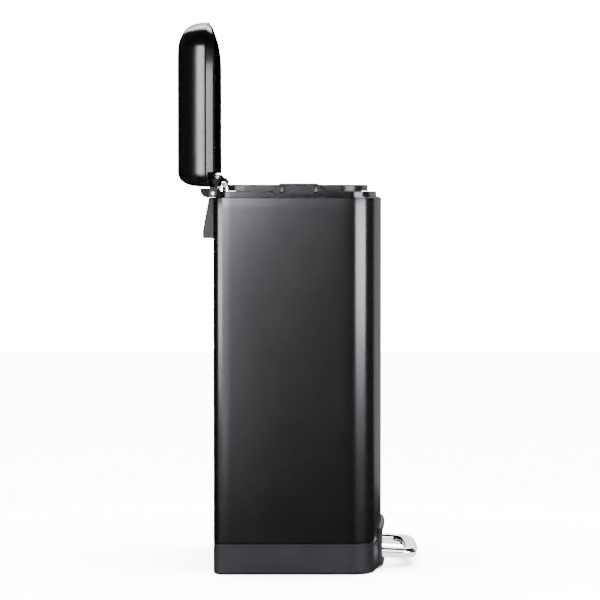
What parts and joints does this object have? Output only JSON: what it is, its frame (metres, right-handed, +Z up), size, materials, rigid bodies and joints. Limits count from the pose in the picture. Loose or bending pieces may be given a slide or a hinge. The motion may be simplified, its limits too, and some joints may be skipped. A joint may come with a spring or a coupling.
{
  "type": "pedal trash can",
  "caption": "Slim upright step can: coated steel body on a plastic base, hinged domed lid raised by a chrome foot pedal through a push rod, lift-out inner bucket.",
  "frame": {"origin": "centre of the base on the floor", "axes": "front with the pedal faces -Y, width along X, +Z up; lid open and pedal pressed at rest"},
  "size_m": [0.4046, 0.3873, 0.881],
  "materials": {
    "black_steel": "satin black coated steel",
    "base_plastic": "textured dark grey moulding",
    "grey_plastic": "fine textured dark grey moulding",
    "gloss_plastic": "glossy black moulding",
    "bucket_plastic": "dark grey polypropylene, light sheen",
    "rubber": "soft black rubber",
    "chrome": "bright chrome plating",
    "plated_steel": "zinc plated steel",
    "black_bracket": "black powder coat"
  },
  "bodies": {
    "can": {"body_shell": "black_steel", "base": "base_plastic", "base_feet": "rubber", "base_screws": "plated_steel", "pedal_housing": "grey_plastic", "top_collar": "gloss_plastic", "hinge_base": "base_plastic", "hinge_axle": "plated_steel", "hinge_base_screws": "plated_steel", "rear_handle": "grey_plastic", "rear_handle_screws": "plated_steel", "pedal_axle": "plated_steel", "axle_clips": "plated_steel", "rod_guide_upper": "grey_plastic", "rod_guide_lower": "grey_plastic", "rod_cover": "plated_steel", "damper_cylinder": "base_plastic", "damper_bracket": "plated_steel"},
    "lid": {"lid_shell": "black_steel", "lid_frame": "black_steel", "lid_liner": "bucket_plastic", "lid_screws": "plated_steel", "lid_bumpers": "rubber", "hinge_bracket_left": "black_bracket", "hinge_bracket_right": "black_bracket", "bracket_pins": "plated_steel", "bracket_screws": "plated_steel", "hinge_leaves": "plated_steel", "lift_arm": "black_bracket", "lift_arm_screws": "plated_steel"},
    "pedal": {"pedal": "chrome", "pedal_lever": "plated_steel", "pedal_rivets": "plated_steel"},
    "push_rod": {"push_rod": "plated_steel", "rod_clips": "plated_steel", "rod_yoke": "grey_plastic", "damper_plunger": "plated_steel"},
    "bucket": {"inner_bucket": "bucket_plastic"}
  },
  "joints": [
    {"name": "lid_hinge", "type": "hinge", "parent": "can", "child": "lid", "pos_m": [0, 0.1382, 0.6032], "axis": [1, 0, 0], "range_deg": [0, 90]},
    {"name": "pedal_pivot", "type": "hinge", "parent": "can", "child": "pedal", "pos_m": [0, -0.02, 0.03], "axis": [-1, 0, 0], "range_deg": [0, 11.4]},
    {"name": "rod_slide", "type": "slide", "parent": "can", "child": "push_rod", "axis": [0, 0, -1], "range_m": [0, 0.0285]},
    {"name": "bucket_lift", "type": "slide", "parent": "can", "child": "bucket", "axis": [0, 0, 1], "range_m": [0, 0.022]}
  ],
  "couplings": [
    {"joint": "pedal_pivot", "follows": "lid_hinge", "ratio": 0.12495},
    {"joint": "rod_slide", "follows": "lid_hinge", "m_per_rad": 0.017825}
  ]
}
